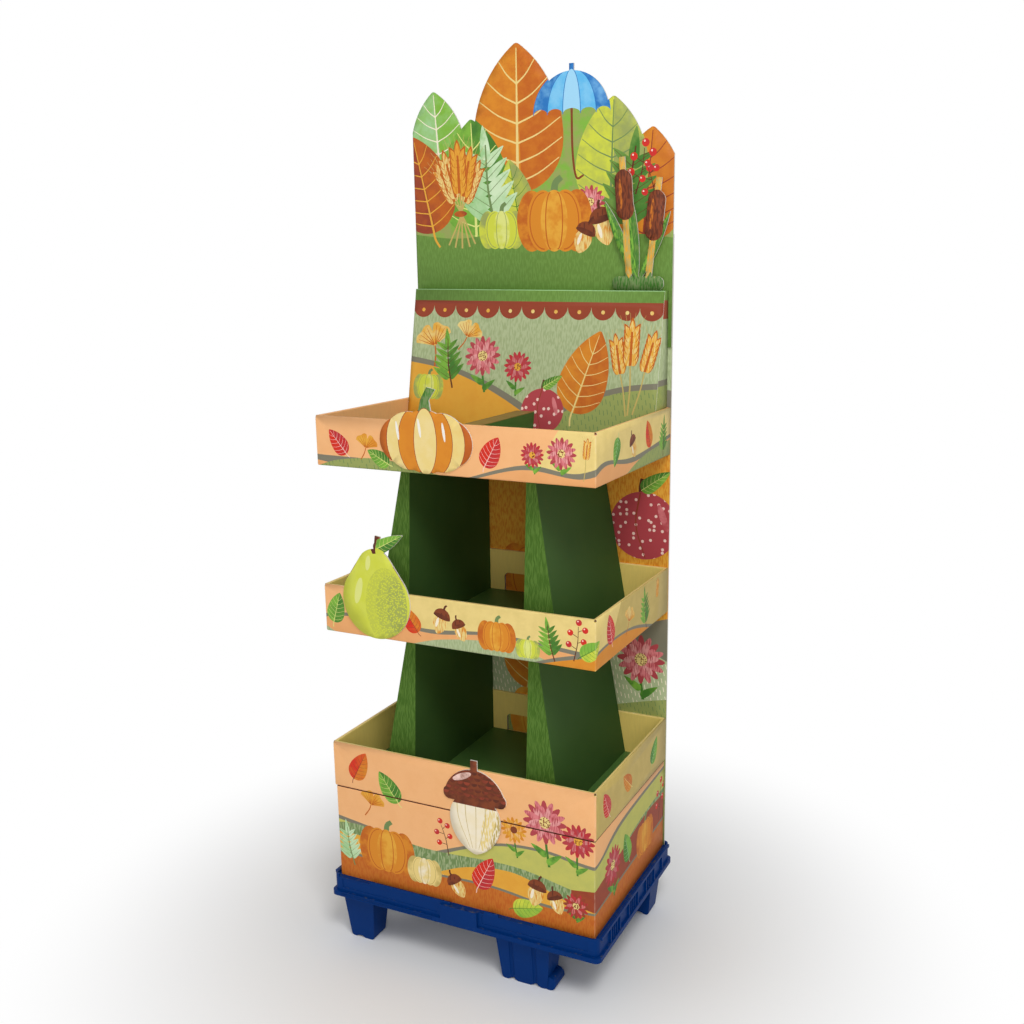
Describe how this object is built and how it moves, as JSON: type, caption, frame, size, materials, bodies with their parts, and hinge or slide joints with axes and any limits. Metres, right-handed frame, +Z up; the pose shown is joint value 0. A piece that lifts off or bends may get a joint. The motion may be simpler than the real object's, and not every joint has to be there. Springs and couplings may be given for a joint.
{
  "type": "cardboard display stand",
  "caption": "Floor display of printed corrugated board: open trays on tapered uprights, a plinth on a plastic quarter pallet, a tall rear wall and a die-cut header.",
  "frame": {"origin": "on the floor, under the middle of the pallet", "axes": "+Z up, +X to the right as seen from the front, +Y to the back"},
  "size_m": [0.61, 0.41, 1.8185],
  "materials": {
    "pallet_plastic": "moulded",
    "printed_board": "printed",
    "tray_board": "printed",
    "green_board": "printed",
    "raw_board": "raw",
    "cutout_board": "printed",
    "foam": "foam"
  },
  "bodies": {
    "root": {"pallet": "pallet_plastic", "plinth": "printed_board", "plinth_rib_long": "raw_board", "plinth_rib_left": "raw_board", "plinth_rib_right": "raw_board", "bottom_tray": "tray_board", "middle_tray": "tray_board", "top_tray": "tray_board", "bottom_liner": "green_board", "middle_liner": "green_board", "top_liner": "green_board", "lower_left_upright": "green_board", "lower_right_upright": "green_board", "upper_left_upright": "green_board", "upper_right_upright": "green_board", "top_divider": "green_board", "top_riser": "printed_board", "rear_wall": "printed_board", "header": "printed_board", "header_cutout": "cutout_board", "header_spacers": "foam", "top_tray_cutout": "cutout_board", "middle_tray_cutout": "cutout_board", "plinth_cutout": "cutout_board"}
  },
  "joints": []
}
